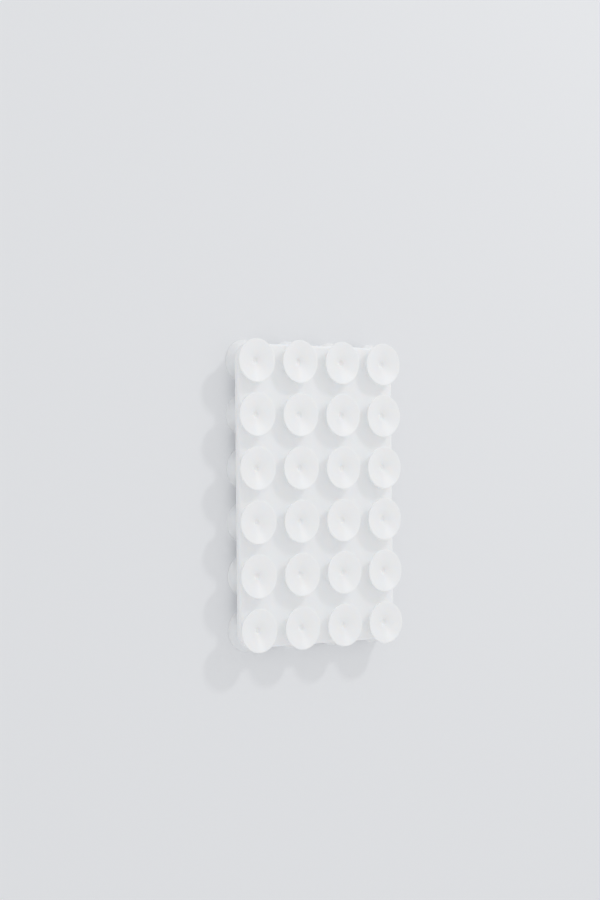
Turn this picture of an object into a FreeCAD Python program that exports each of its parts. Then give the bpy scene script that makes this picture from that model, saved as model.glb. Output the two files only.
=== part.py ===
import FreeCAD, Part
import os

# Double-sided suction phone mount: one silicone moulding, a flat plate with a grid of small suction cups
# on each face. The pad lies flat on its lower cups. X runs across the columns of cups, Y along the rows and
# Z through the thickness. The origin is under the middle of the grid, on the plane of the lower rims.
# All sizes are in millimetres.

# Grid of cups
CUP_COLUMNS = 4
CUP_ROWS = 6
RIM_DIAMETER = 12.2
RIM_GAP = 2.8  # clear gap between neighbouring rims

# Plate that carries the cups
PLATE_THICKNESS = 2.0
PLATE_BORDER = 1.7  # from the outermost necks to the plate's edge
PLATE_CORNER_RADIUS = 4.5
PLATE_EDGE_FILLET = 0.6

# Section of one cup
CUP_HEIGHT = 2.4  # from the plate's face to the rim
LIP_THICKNESS = 0.25  # height of the lip's outer edge
LIP_LAND = 0.3  # width of the flat sealing land round the rim
SEAT_DEPTH = 1.05  # drop of the conical seat, from the land to the dimple's edge
DIMPLE_DIAMETER = 2.0
DIMPLE_DEPTH = 0.4
NECK_DIAMETER = 6.4
NECK_HEIGHT = 0.6  # straight part of the neck, below the flared skirt

# Values that follow from the ones above
PITCH = RIM_DIAMETER + RIM_GAP
PLATE_WIDTH = (CUP_COLUMNS - 1) * PITCH + NECK_DIAMETER + 2 * PLATE_BORDER
PLATE_LENGTH = (CUP_ROWS - 1) * PITCH + NECK_DIAMETER + 2 * PLATE_BORDER
LOWER_FACE_Z = CUP_HEIGHT
UPPER_FACE_Z = LOWER_FACE_Z + PLATE_THICKNESS
ROOT_DEPTH = PLATE_THICKNESS / 4  # how far a cup's root reaches into the plate
EDGE_FILLET = min(PLATE_EDGE_FILLET, 0.45 * PLATE_THICKNESS)  # keeps a flat strip on a thin plate's side

ORIGIN = FreeCAD.Vector(0, 0, 0)
ACROSS = FreeCAD.Vector(1, 0, 0)
UP = FreeCAD.Vector(0, 0, 1)
FULL_TURN = 360
HALF_TURN = 180


def plate():
    """Flat plate with round corners and softened edges, between the two sets of cups."""
    corner = FreeCAD.Vector(-PLATE_WIDTH / 2, -PLATE_LENGTH / 2, LOWER_FACE_Z)
    slab = Part.makeBox(PLATE_WIDTH, PLATE_LENGTH, PLATE_THICKNESS, corner)
    upright_edges = [edge for edge in slab.Edges if edge.BoundBox.ZLength > PLATE_THICKNESS / 2]
    rounded = slab.makeFillet(PLATE_CORNER_RADIUS, upright_edges)
    flat_edges = [edge for edge in rounded.Edges if edge.BoundBox.ZLength < PLATE_THICKNESS / 2]
    return rounded.makeFillet(EDGE_FILLET, flat_edges)


def cup_section():
    """Half section of a cup as radius and height: root, neck, flared skirt, lip, land, seat and dimple."""
    rim = RIM_DIAMETER / 2
    neck = NECK_DIAMETER / 2
    dimple = DIMPLE_DIAMETER / 2
    seat_floor = CUP_HEIGHT - SEAT_DEPTH
    return [
        (0, -ROOT_DEPTH),
        (neck, -ROOT_DEPTH),
        (neck, NECK_HEIGHT),
        (rim, CUP_HEIGHT - LIP_THICKNESS),
        (rim, CUP_HEIGHT),
        (rim - LIP_LAND, CUP_HEIGHT),
        (dimple, seat_floor),
        (0, seat_floor - DIMPLE_DEPTH),
    ]


def cup():
    """One upright cup with its axis on Z, its root below Z = 0 and its rim at the top."""
    points = [FreeCAD.Vector(radius, 0, height) for radius, height in cup_section()]
    outline = Part.makePolygon(points + points[:1])
    return Part.Face(outline).revolve(ORIGIN, UP, FULL_TURN)


def cup_centres():
    """Centres of the cups, with the grid's middle at the origin."""
    for row in range(CUP_ROWS):
        y = (row - (CUP_ROWS - 1) / 2) * PITCH
        for column in range(CUP_COLUMNS):
            x = (column - (CUP_COLUMNS - 1) / 2) * PITCH
            yield x, y


def cups_on_both_faces():
    """Upright cups on the upper face, and the same cups upside down on the lower face."""
    upright = cup()
    hanging = upright.rotated(ORIGIN, ACROSS, HALF_TURN)
    cups = []
    for x, y in cup_centres():
        cups.append(upright.translated(FreeCAD.Vector(x, y, UPPER_FACE_Z)))
        cups.append(hanging.translated(FreeCAD.Vector(x, y, LOWER_FACE_Z)))
    return cups


def suction_pad():
    """The whole moulding as one solid."""
    moulding = plate().multiFuse(cups_on_both_faces()).removeSplitter()
    return moulding.Solids[0]


os.makedirs("parts", exist_ok=True)
pad = suction_pad()
pad.exportStep("parts/suction_pad.step")
size = pad.BoundBox
print(f"suction_pad {size.XLength:.2f} x {size.YLength:.2f} x {size.ZLength:.2f} mm, {pad.Volume:.0f} mm3")
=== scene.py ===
import math
import random

import bmesh
import bpy
from mathutils import Matrix, Vector


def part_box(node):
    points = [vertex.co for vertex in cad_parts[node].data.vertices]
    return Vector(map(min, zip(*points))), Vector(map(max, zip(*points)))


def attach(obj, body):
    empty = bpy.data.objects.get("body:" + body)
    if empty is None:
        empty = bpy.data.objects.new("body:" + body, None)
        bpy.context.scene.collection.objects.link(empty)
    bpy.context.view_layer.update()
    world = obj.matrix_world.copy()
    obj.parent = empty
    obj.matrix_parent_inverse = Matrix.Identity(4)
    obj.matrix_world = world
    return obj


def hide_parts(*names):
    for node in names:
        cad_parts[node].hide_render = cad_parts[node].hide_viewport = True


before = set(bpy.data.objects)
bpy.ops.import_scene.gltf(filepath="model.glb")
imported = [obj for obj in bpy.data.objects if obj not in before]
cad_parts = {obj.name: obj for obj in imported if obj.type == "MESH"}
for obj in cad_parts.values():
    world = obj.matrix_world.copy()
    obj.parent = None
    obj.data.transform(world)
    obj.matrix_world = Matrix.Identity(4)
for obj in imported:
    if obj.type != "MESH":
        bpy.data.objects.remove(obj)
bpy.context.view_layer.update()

# Double-sided suction mount of white silicone, lying on its lower cups. Lengths are in metres.
MM = 0.001
WELD = 0.001 * MM  # points nearer to each other than this are one point

# Grid of cups and section of one cup
COLUMNS = 4
ROWS = 6
RIM_RADIUS = 6.1 * MM
LIP_THICKNESS = 0.25 * MM
LIP_LAND = 0.3 * MM
SEAT_DEPTH = 1.05 * MM
DIMPLE_RADIUS = 1.0 * MM
DIMPLE_FLOOR_RADIUS = 0.5 * MM
DIMPLE_DEPTH = 0.4 * MM
NECK_RADIUS = 3.2 * MM
NECK_HEIGHT = 0.6 * MM
POLISH_START = 1.7 * MM  # the seat is polished between these two radii
POLISH_END = 5.75 * MM

# Plate
PLATE_THICKNESS = 2.0 * MM
PLATE_BORDER = 1.7 * MM
PLATE_CORNER_RADIUS = 4.5 * MM
PLATE_EDGE_ROUND = 0.6 * MM
FLAT_MARGIN = 0.1 * MM  # narrow flat strip inside the plate's rounded edge and outside each cup's root
PARTING_WIDTH = 0.24 * MM  # fine ridge where the two halves of the mould met
PARTING_HEIGHT = 0.04 * MM

# Soft corners of the moulding
ROOT_BLEND = 0.4 * MM
NECK_BLEND = 0.7 * MM
LIP_ROUND = 0.1 * MM
LAND_BLEND = 0.9 * MM
DIMPLE_ROUND = 0.3 * MM
DIMPLE_FLOOR_ROUND = 0.15 * MM

# Places that follow from the frame
PAD_LOW, PAD_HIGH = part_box("suction_pad")
CUP_HEIGHT = (PAD_HIGH.z - PAD_LOW.z - PLATE_THICKNESS) / 2
LOWER_FACE = PAD_LOW.z + CUP_HEIGHT
UPPER_FACE = LOWER_FACE + PLATE_THICKNESS
PLATE_MIDDLE = (LOWER_FACE + UPPER_FACE) / 2
PITCH = (PAD_HIGH.x - PAD_LOW.x - 2 * RIM_RADIUS) / (COLUMNS - 1)
PLATE_WIDTH = (COLUMNS - 1) * PITCH + 2 * (NECK_RADIUS + PLATE_BORDER)
PLATE_LENGTH = (ROWS - 1) * PITCH + 2 * (NECK_RADIUS + PLATE_BORDER)

# Fineness of the mesh
CUP_SEGMENTS = 64
BLEND_STEPS = 3  # along the blends at a cup's root and neck
ROUND_STEPS = 2  # along the rounding of its lip, land and dimple
SKIRT_ROW = 0.7  # rows of points on the straight skirt and seat, as shares of the way along them
SEAT_ROWS = (0.25, 0.6, 0.8)
PLATE_CORNER_SEGMENTS = 12
PLATE_EDGE_SEGMENTS = 5
FLAT_NORMAL = 0.999  # a face of the plate is flat where its normal is at least this upright

# How uneven soft cups are
SEED = 7
TILT = 0.011  # radians
LIP_WAVE = 0.03 * MM
LIP_WAVES = 2  # round one lip
WAVE_FALL = 3  # power of the radius by which a wave dies down towards the middle


def pick_nothing():
    """Leaves no object selected, the nodes of the frame among them."""
    if bpy.context.mode != "OBJECT":
        bpy.ops.object.mode_set(mode="OBJECT")
    bpy.ops.object.select_all(action="DESELECT")


def between(start, end, share):
    """Point on the line from one corner of a section to the next."""
    return tuple(a + (b - a) * share for a, b in zip(start, end))


def rounded(corners):
    """Points of a section in the XZ plane. Each corner is (x, z, rounding radius, steps of its arc)."""
    points = []
    for i, (x, z, radius, steps) in enumerate(corners):
        corner = Vector((x, 0, z))
        if not radius:
            points.append(corner)
            continue
        before = (Vector((corners[i - 1][0], 0, corners[i - 1][1])) - corner).normalized()
        after = (Vector((corners[i + 1][0], 0, corners[i + 1][1])) - corner).normalized()
        half_angle = before.angle(after) / 2
        centre = corner + (before + after).normalized() * (radius / math.sin(half_angle))
        reach = radius / math.tan(half_angle)
        start = (corner + before * reach - centre).normalized()
        end = (corner + after * reach - centre).normalized()
        points += [centre + start.slerp(end, step / steps) * radius for step in range(steps + 1)]
    return points


def cup_section():
    """Section of a cup from the plate's face up the neck and skirt, over the lip and down to the dimple."""
    root = (NECK_RADIUS, 0)
    neck_top = (NECK_RADIUS, NECK_HEIGHT)
    under_lip = (RIM_RADIUS, CUP_HEIGHT - LIP_THICKNESS)
    rim = (RIM_RADIUS, CUP_HEIGHT)
    land = (RIM_RADIUS - LIP_LAND, CUP_HEIGHT)
    dimple = (DIMPLE_RADIUS, CUP_HEIGHT - SEAT_DEPTH)
    dimple_floor = (DIMPLE_FLOOR_RADIUS, CUP_HEIGHT - SEAT_DEPTH - DIMPLE_DEPTH)
    return rounded([
        (NECK_RADIUS + ROOT_BLEND + FLAT_MARGIN, 0, 0, 0),
        (*root, ROOT_BLEND, BLEND_STEPS),
        (*neck_top, NECK_BLEND, BLEND_STEPS),
        (*between(neck_top, under_lip, SKIRT_ROW), 0, 0),
        (*under_lip, LIP_ROUND, ROUND_STEPS),
        (*rim, LIP_ROUND, ROUND_STEPS),
        (*land, LAND_BLEND, ROUND_STEPS),
        *((*between(land, dimple, share), 0, 0) for share in SEAT_ROWS),
        (*dimple, DIMPLE_ROUND, ROUND_STEPS),
        (*dimple_floor, DIMPLE_FLOOR_ROUND, ROUND_STEPS),
        (0, dimple_floor[1], 0, 0),
    ])


def cup_blank():
    """One upright cup on Z = 0: its section is drawn point by point and spun about Z."""
    pick_nothing()
    bpy.ops.mesh.primitive_plane_add(size=MM)
    cup = bpy.context.active_object
    cup.name = "cup_blank"
    points = cup_section()
    bpy.ops.object.mode_set(mode="EDIT")
    bpy.ops.mesh.select_mode(type="VERT")
    bpy.ops.mesh.select_all(action="SELECT")
    bpy.ops.mesh.merge(type="CENTER")
    bpy.ops.transform.translate(value=points[0])
    for here, there in zip(points, points[1:]):
        bpy.ops.mesh.extrude_vertices_move(TRANSFORM_OT_translate={"value": there - here})
    bpy.ops.mesh.select_all(action="SELECT")
    bpy.ops.mesh.spin(steps=CUP_SEGMENTS, angle=math.tau, center=(0, 0, 0), axis=(0, 0, 1))
    bpy.ops.mesh.select_all(action="SELECT")
    bpy.ops.mesh.remove_doubles(threshold=WELD)
    bpy.ops.object.mode_set(mode="OBJECT")
    mark_cup(cup)
    return cup


def mark_cup(cup):
    """Keeps at each point whether it is on the polished seat, and whether it is down by the plate, where
    the plate's painted shade and cool tint are mixed in.
    """
    seat = cup.data.attributes.new("seat", "FLOAT", "POINT")
    painted_shade_mask = cup.data.attributes.new("plate", "FLOAT", "POINT")
    for vertex in cup.data.vertices:
        radius = vertex.co.xy.length
        seat_height = CUP_HEIGHT - SEAT_DEPTH * (RIM_RADIUS - radius) / (RIM_RADIUS - DIMPLE_RADIUS)
        on_top = vertex.co.z > seat_height - LIP_THICKNESS
        on_seat = on_top and POLISH_START < radius < POLISH_END
        seat.data[vertex.index].value = float(on_seat)
        # points down by the plate take the plate's painted shade and painted cool tint
        painted_shade_mask.data[vertex.index].value = float(vertex.co.z < NECK_HEIGHT)


def uneven(cup, chance):
    """Tilts a soft cup on its neck and lets its lip wave, with its highest point in the rims' plane."""
    tilt_x = chance.uniform(-TILT, TILT)
    tilt_y = chance.uniform(-TILT, TILT)
    wave = chance.uniform(0, LIP_WAVE)
    turn = chance.uniform(0, math.tau)
    moves = []
    for vertex in cup.data.vertices:
        x, y, z = vertex.co
        height = max(0.0, z - NECK_HEIGHT) / (CUP_HEIGHT - NECK_HEIGHT)
        smooth_height = height * height * (3 - 2 * height)
        ripple = wave * math.sin(LIP_WAVES * math.atan2(y, x) + turn)
        lift = tilt_x * x + tilt_y * y
        lift += ripple * (vertex.co.xy.length / RIM_RADIUS) ** WAVE_FALL
        moves.append((vertex, height, lift * smooth_height))
    too_high = max(vertex.co.z + lift for vertex, height, lift in moves) - CUP_HEIGHT
    for vertex, height, lift in moves:
        vertex.co.z += lift - too_high * height


def cups_on_both_faces():
    """Copies of the cup, upright on the upper face and upside down on the lower one."""
    blank = cup_blank()
    chance = random.Random(SEED)
    upright = Matrix.Translation((0, 0, UPPER_FACE))
    hanging = Matrix.Translation((0, 0, LOWER_FACE)) @ Matrix.Rotation(math.pi, 4, "X")
    cups = []
    for row in range(ROWS):
        for column in range(COLUMNS):
            centre = Vector(((column - (COLUMNS - 1) / 2) * PITCH, (row - (ROWS - 1) / 2) * PITCH, 0))
            for stand in (upright, hanging):
                cup = blank.copy()
                cup.data = blank.data.copy()
                bpy.context.collection.objects.link(cup)
                uneven(cup, chance)
                cup.data.transform(Matrix.Translation(centre) @ stand)
                cups.append(cup)
    bpy.data.objects.remove(blank)
    return cups


def select_edges(piece, wanted):
    """Selects, in edit mode, the edges that wanted says yes to, and nothing else."""
    bpy.ops.mesh.select_mode(type="EDGE")
    bpy.ops.mesh.select_all(action="DESELECT")
    mesh = bmesh.from_edit_mesh(piece.data)
    for edge in mesh.edges:
        if wanted(edge):
            edge.select_set(True)
    bmesh.update_edit_mesh(piece.data)


def lies_at(edge, height):
    """Whether both ends of an edge are at a height."""
    return all(abs(vertex.co.z - height) < WELD for vertex in edge.verts)


def stands_up(edge):
    """Whether the ends of an edge are at different heights."""
    return abs(edge.verts[0].co.z - edge.verts[1].co.z) > WELD


def raise_parting_line(slab):
    """Cuts three level lines round the plate's side, in edit mode, and pushes the middle one out."""
    for height in (PLATE_MIDDLE - PARTING_WIDTH / 2, PLATE_MIDDLE, PLATE_MIDDLE + PARTING_WIDTH / 2):
        bpy.ops.mesh.select_all(action="SELECT")
        bpy.ops.mesh.bisect(plane_co=(0, 0, height), plane_no=(0, 0, 1), threshold=WELD)
    select_edges(slab, lambda edge: lies_at(edge, PLATE_MIDDLE))
    bpy.ops.transform.shrink_fatten(value=PARTING_HEIGHT)


def open_flat_faces(slab):
    """Opens the plate's two flat faces, in edit mode, up to a narrow strip inside the rounded edge."""
    bpy.ops.mesh.select_mode(type="FACE")
    bpy.ops.mesh.select_all(action="DESELECT")
    mesh = bmesh.from_edit_mesh(slab.data)
    for face in mesh.faces:
        face.select_set(abs(face.normal.z) > FLAT_NORMAL)
    bmesh.update_edit_mesh(slab.data)
    bpy.ops.mesh.inset(thickness=FLAT_MARGIN)
    bpy.ops.mesh.delete(type="ONLY_FACE")


def plate():
    """Plate with round corners and rounded edges, its two flat faces left open for the cups."""
    pick_nothing()
    bpy.ops.mesh.primitive_cube_add(size=1, location=(0, 0, 0))
    slab = bpy.context.active_object
    bpy.ops.object.mode_set(mode="EDIT")
    bpy.ops.mesh.select_all(action="SELECT")
    bpy.ops.transform.resize(value=(PLATE_WIDTH, PLATE_LENGTH, PLATE_THICKNESS))
    bpy.ops.transform.translate(value=(0, 0, PLATE_MIDDLE))
    select_edges(slab, stands_up)
    bpy.ops.mesh.bevel(offset=PLATE_CORNER_RADIUS, segments=PLATE_CORNER_SEGMENTS, affect="EDGES")
    select_edges(slab, lambda edge: lies_at(edge, LOWER_FACE) or lies_at(edge, UPPER_FACE))
    bpy.ops.mesh.bevel(offset=PLATE_EDGE_ROUND, segments=PLATE_EDGE_SEGMENTS, affect="EDGES")
    raise_parting_line(slab)
    open_flat_faces(slab)
    bpy.ops.object.mode_set(mode="OBJECT")
    # the whole plate takes the painted shade and painted cool tint
    painted_shade_mask = slab.data.attributes.new("plate", "FLOAT", "POINT")
    for vertex in slab.data.vertices:
        painted_shade_mask.data[vertex.index].value = 1.0
    return slab


def silicone_pad():
    """The whole moulding: plate and cups joined, with the plate's faces closed round the cups' roots."""
    slab = plate()
    cups = cups_on_both_faces()
    pick_nothing()
    for cup in cups:
        cup.select_set(True)
    slab.select_set(True)
    bpy.context.view_layer.objects.active = slab
    bpy.ops.object.join()
    slab.name = "silicone_pad"
    slab.data.name = "silicone_pad"
    bpy.ops.object.mode_set(mode="EDIT")
    for face_height in (LOWER_FACE, UPPER_FACE):
        select_edges(slab, lambda edge: edge.is_boundary and lies_at(edge, face_height))
        bpy.ops.mesh.fill(use_beauty=True)
    bpy.ops.mesh.select_all(action="SELECT")
    bpy.ops.mesh.remove_doubles(threshold=WELD)
    bpy.ops.mesh.normals_make_consistent(inside=False)
    bpy.ops.object.mode_set(mode="OBJECT")
    bpy.ops.object.shade_smooth()
    return slab


# Finishes
SILICONE_WHITE = (0.985, 0.985, 0.98, 1)
# painted shade and a painted cool tint on the plate, for light lost through the thin silicone
PLATE_PAINTED_SHADE = (0.972, 0.979, 0.985, 1)
SILICONE_IOR = 1.41
SCATTER_COLOUR = (1.0, 0.88, 0.78)
SCATTER_SHARE = 0.4
SCATTER_DEPTH = 1.5 * MM
CLOUDINESS = 0.012
CLOUDS_PER_MM = 0.12
CLOUD_DETAIL = 3
MATTE = 0.55
POLISHED = 0.29
TURNED = 0.9  # how far a lathe's marks in the mould stretch the shine of a seat
CELL_MIDDLE = (0.5, 0.5, 0)  # a cup's axis in its own cell of the grid
PATCHINESS = 0.012
PATCHES_PER_MM = 0.35
PATCH_DETAIL = 4
GRAIN_HEIGHT = 0.001 * MM
GRAINS_PER_MM = 6.0
GRAIN_DETAIL = 2
FLOOR_GREY = (0.885, 0.89, 0.9, 1)
FLOOR_ROUGHNESS = 0.9
FLOOR_SHINE = 0.1
SKY_WHITE = (0.95, 0.96, 0.978, 1)


def material_with(name):
    """A new node material and its main shader."""
    material = bpy.data.materials.new(name)
    material.use_nodes = True
    return material, material.node_tree.nodes["Principled BSDF"]


def node_with(tree, kind, values):
    """A new node of a kind, with values set on its sockets by name or number."""
    node = tree.nodes.new(kind)
    for socket, value in values.items():
        node.inputs[socket].default_value = value
    return node


def attribute(tree, name):
    """A value kept on the mesh's points."""
    node = tree.nodes.new("ShaderNodeAttribute")
    node.attribute_name = name
    return node.outputs["Fac"]


def calculate(tree, operation, first, second):
    """One sum on two other nodes' outputs."""
    node = tree.nodes.new("ShaderNodeMath")
    node.operation = operation
    tree.links.new(first, node.inputs[0])
    tree.links.new(second, node.inputs[1])
    return node.outputs["Value"]


def vector_step(tree, operation, vector, *constants):
    """One sum on a vector, with constants on the node's other sockets in their order."""
    node = node_with(tree, "ShaderNodeVectorMath", dict(enumerate(constants, 1)))
    node.operation = operation
    tree.links.new(vector, node.inputs[0])
    return node.outputs["Vector"]


def noise(tree, place, per_mm, detail):
    """Even noise on the piece's own coordinates, so many grains to the millimetre."""
    node = node_with(tree, "ShaderNodeTexNoise", {"Scale": per_mm / MM, "Detail": detail})
    tree.links.new(place, node.inputs["Vector"])
    return node.outputs["Fac"]


def spread(tree, value, low, high):
    """A value from 0 to 1 laid out between two others."""
    node = node_with(tree, "ShaderNodeMapRange", {"To Min": low, "To Max": high})
    tree.links.new(value, node.inputs["Value"])
    return node.outputs["Result"]


def silicone_colour_with_painted_shade(tree, place):
    """White, with painted shade and a painted cool tint on the thin plate for light lost through it, and
    faintly cloudy all over.
    """
    painted_plate_tint = tree.nodes.new("ShaderNodeMix")
    painted_plate_tint.data_type = "RGBA"
    painted_plate_tint.inputs["A"].default_value = SILICONE_WHITE
    # the plate's colour is a painted shade with a painted cool tint
    painted_plate_tint.inputs["B"].default_value = PLATE_PAINTED_SHADE
    # the mask on the points mixes in the plate's painted shade and cool tint
    tree.links.new(attribute(tree, "plate"), painted_plate_tint.inputs["Factor"])
    cloudy = tree.nodes.new("ShaderNodeHueSaturation")
    tree.links.new(painted_plate_tint.outputs["Result"], cloudy.inputs["Color"])
    clouds = noise(tree, place, CLOUDS_PER_MM, CLOUD_DETAIL)
    tree.links.new(spread(tree, clouds, 1 - CLOUDINESS, 1), cloudy.inputs["Value"])
    return cloudy.outputs["Color"]


def silicone_roughness(tree, place):
    """Matte outside, polished on the seats, and uneven where fingers and dust have been."""
    plain = spread(tree, attribute(tree, "seat"), MATTE, POLISHED)
    patches = noise(tree, place, PATCHES_PER_MM, PATCH_DETAIL)
    return calculate(tree, "ADD", plain, spread(tree, patches, -PATCHINESS, PATCHINESS))


def silicone_relief(tree, place):
    """Fine grain of the mould, except on the seats. Its height is in metres."""
    off_seat = spread(tree, attribute(tree, "seat"), GRAIN_HEIGHT, 0)
    grain = calculate(tree, "MULTIPLY", noise(tree, place, GRAINS_PER_MM, GRAIN_DETAIL), off_seat)
    bump = node_with(tree, "ShaderNodeBump", {"Strength": 1.0, "Distance": 1.0})
    tree.links.new(grain, bump.inputs["Height"])
    return bump.outputs["Normal"]


def across_cup(tree, place):
    """Level direction away from the axis of the nearest cup, across the marks of the lathe."""
    cells_per_metre = (1 / PITCH, 1 / PITCH, 0)
    half_grid = (COLUMNS / 2, ROWS / 2, 0)
    cells = vector_step(tree, "MULTIPLY_ADD", place, cells_per_metre, half_grid)
    from_corner = vector_step(tree, "FRACTION", cells)
    from_axis = vector_step(tree, "SUBTRACT", from_corner, CELL_MIDDLE)
    return vector_step(tree, "NORMALIZE", from_axis)


def white_silicone():
    """White silicone that lets a little light through, matte outside and polished on the seats."""
    material, shader = material_with("white_silicone")
    shader.inputs["IOR"].default_value = SILICONE_IOR
    shader.inputs["Subsurface Weight"].default_value = SCATTER_SHARE
    shader.inputs["Subsurface Radius"].default_value = SCATTER_COLOUR
    shader.inputs["Subsurface Scale"].default_value = SCATTER_DEPTH
    tree = material.node_tree
    place = tree.nodes.new("ShaderNodeTexCoord").outputs["Object"]
    tree.links.new(silicone_colour_with_painted_shade(tree, place), shader.inputs["Base Color"])
    tree.links.new(silicone_roughness(tree, place), shader.inputs["Roughness"])
    tree.links.new(silicone_relief(tree, place), shader.inputs["Normal"])
    tree.links.new(spread(tree, attribute(tree, "seat"), 0, TURNED), shader.inputs["Anisotropic"])
    tree.links.new(across_cup(tree, place), shader.inputs["Tangent"])
    return material


def floor_material():
    """Plain pale matte paper."""
    material, shader = material_with("pale_floor")
    shader.inputs["Base Color"].default_value = FLOOR_GREY
    shader.inputs["Roughness"].default_value = FLOOR_ROUGHNESS
    shader.inputs["Specular IOR Level"].default_value = FLOOR_SHINE
    return material


# Studio, with powers in watts and directions from the pad towards the lamp
FLOOR_SIZE = 20.0
FLOOR_DROP = 0.02 * MM  # keeps the floor clear of the lower rims
LAMP_DISTANCE = 0.9
KEY_DIRECTION = Vector((0.545, 0.69, 0.477))
KEY_WIDTH = 0.07
KEY_HEIGHT = 0.07
KEY_POWER = 1.2
STRIP_DIRECTION = Vector((0.49, 0.315, 0.812))
STRIP_WIDTH = 0.34
STRIP_HEIGHT = 0.2
STRIP_POWER = 0.7
SKY_STRENGTH = 0.795
LIGHT_BOUNCES = 32  # white silicone passes light on many times between the cups

# Camera, fitted to the photograph
CAMERA_PLACE = Vector((-0.3196, 0.00476, 0.4268))
CAMERA_AIM = Vector((-0.0056, 0.01266, 0.0034))
CAMERA_ROLL = math.radians(-0.58)
SENSOR = 36.0  # millimetres, along the picture's height
FOCAL_PIXELS = 1858.0
PHOTO_HEIGHT = 900  # pixels


def studio_floor():
    """Pale floor under the pad."""
    pick_nothing()
    bpy.ops.mesh.primitive_plane_add(size=FLOOR_SIZE, location=(0, 0, 0))
    floor = bpy.context.active_object
    floor.name = "floor"
    floor.data.transform(Matrix.Translation((0, 0, PAD_LOW.z - FLOOR_DROP)))
    floor.data.materials.append(floor_material())


def soft_box(name, direction, width, height, power):
    """A rectangular soft box that shines on the pad from a direction."""
    lamp = bpy.data.lights.new(name, "AREA")
    lamp.shape = "RECTANGLE"
    lamp.size = width
    lamp.size_y = height
    lamp.energy = power
    box = bpy.data.objects.new(name, lamp)
    bpy.context.collection.objects.link(box)
    box.location = direction.normalized() * LAMP_DISTANCE
    box.rotation_euler = direction.to_track_quat("Z", "Y").to_euler()
    return box


def studio_light():
    """A low key from the upper right, a strip that shows only mirrored in the seats, and a pale sky."""
    soft_box("key_light", KEY_DIRECTION, KEY_WIDTH, KEY_HEIGHT, KEY_POWER)
    strip = soft_box("strip_light", STRIP_DIRECTION, STRIP_WIDTH, STRIP_HEIGHT, STRIP_POWER)
    strip.visible_diffuse = False
    world = bpy.data.worlds.new("pale_sky")
    bpy.context.scene.world = world
    world.use_nodes = True
    sky = world.node_tree.nodes["Background"]
    sky.inputs["Color"].default_value = SKY_WHITE
    sky.inputs["Strength"].default_value = SKY_STRENGTH
    bpy.context.scene.cycles.max_bounces = LIGHT_BOUNCES
    bpy.context.scene.cycles.diffuse_bounces = LIGHT_BOUNCES


def studio_camera():
    """Camera at the photograph's viewing angle, with the rows of the pad upright in the picture."""
    back = (CAMERA_PLACE - CAMERA_AIM).normalized()
    right = Vector((0, 1, 0)).cross(back).normalized()
    up = back.cross(right)
    turn = Matrix((right, up, back)).transposed().to_4x4()
    lens = bpy.data.cameras.new("camera")
    lens.sensor_width = SENSOR
    lens.lens = SENSOR * FOCAL_PIXELS / PHOTO_HEIGHT
    camera = bpy.data.objects.new("camera", lens)
    bpy.context.collection.objects.link(camera)
    camera.matrix_world = Matrix.Translation(CAMERA_PLACE) @ turn @ Matrix.Rotation(CAMERA_ROLL, 4, "Z")
    bpy.context.scene.camera = camera


pad = silicone_pad()
pad.data.materials.clear()
pad.data.materials.append(white_silicone())
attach(pad, "root")
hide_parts("suction_pad")
studio_floor()
studio_light()
studio_camera()
bpy.context.scene.view_settings.view_transform = "Standard"
